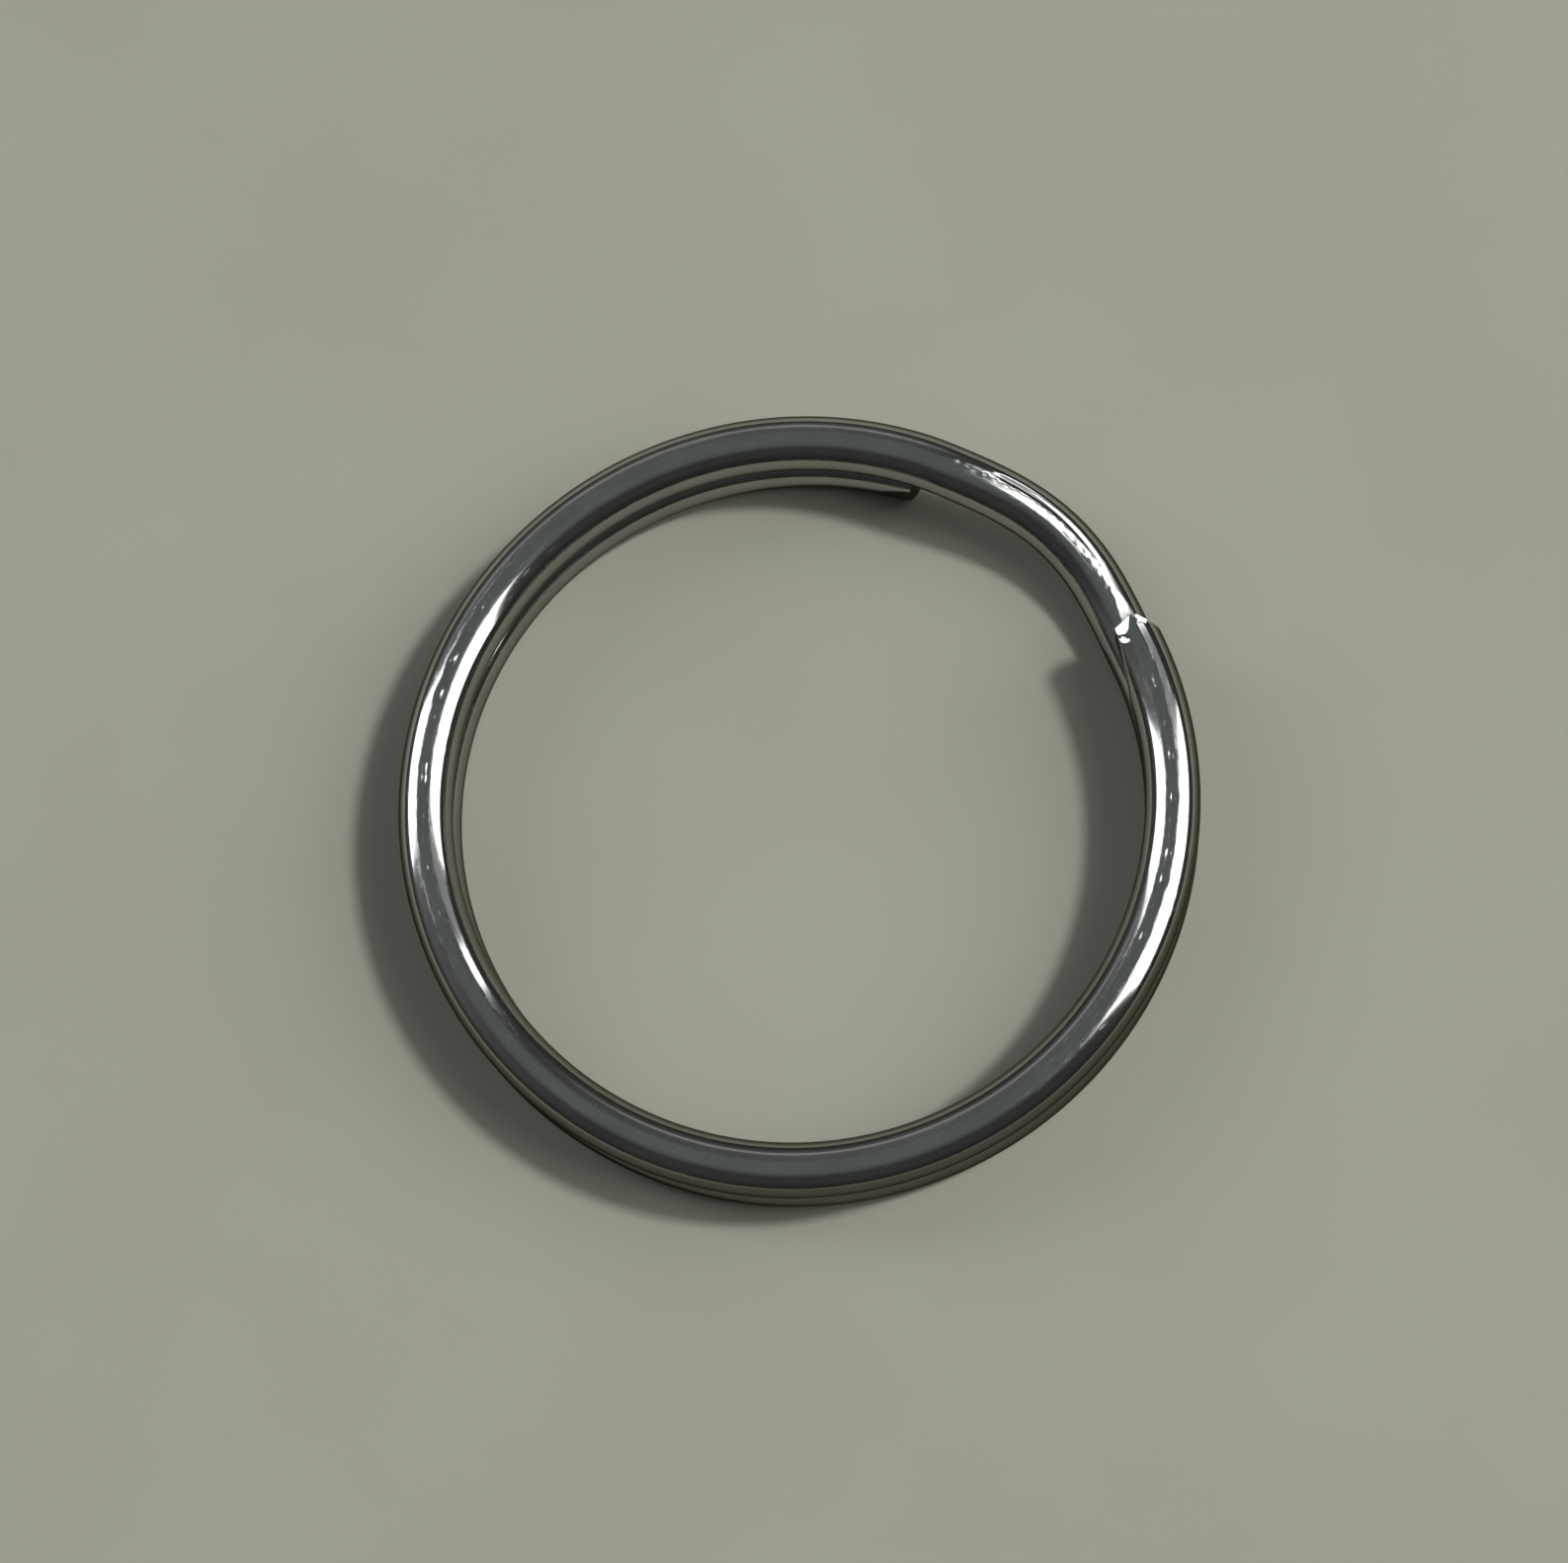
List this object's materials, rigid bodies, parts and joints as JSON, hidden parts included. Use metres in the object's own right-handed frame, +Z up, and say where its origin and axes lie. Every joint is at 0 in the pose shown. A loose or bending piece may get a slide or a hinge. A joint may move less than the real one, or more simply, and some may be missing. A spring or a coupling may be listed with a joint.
{
  "type": "key ring",
  "caption": "Split key ring of round spring wire, wound close in flat turns with a short step between its nipped ends, for holding keys and tags.",
  "frame": {"origin": "centre of the ring, on the plane it rests on", "axes": "+Z up out of the flat ring, +X towards the right of the ring, with the upper free end 28 degrees from +X towards +Y"},
  "size_m": [0.03, 0.03, 0.0041],
  "materials": {
    "nickel_plate": "bright nickel plate on spring steel, rubbed along the crown, with fine scratches and small dents"
  },
  "bodies": {
    "root": {"split_ring": "nickel_plate"}
  },
  "joints": []
}
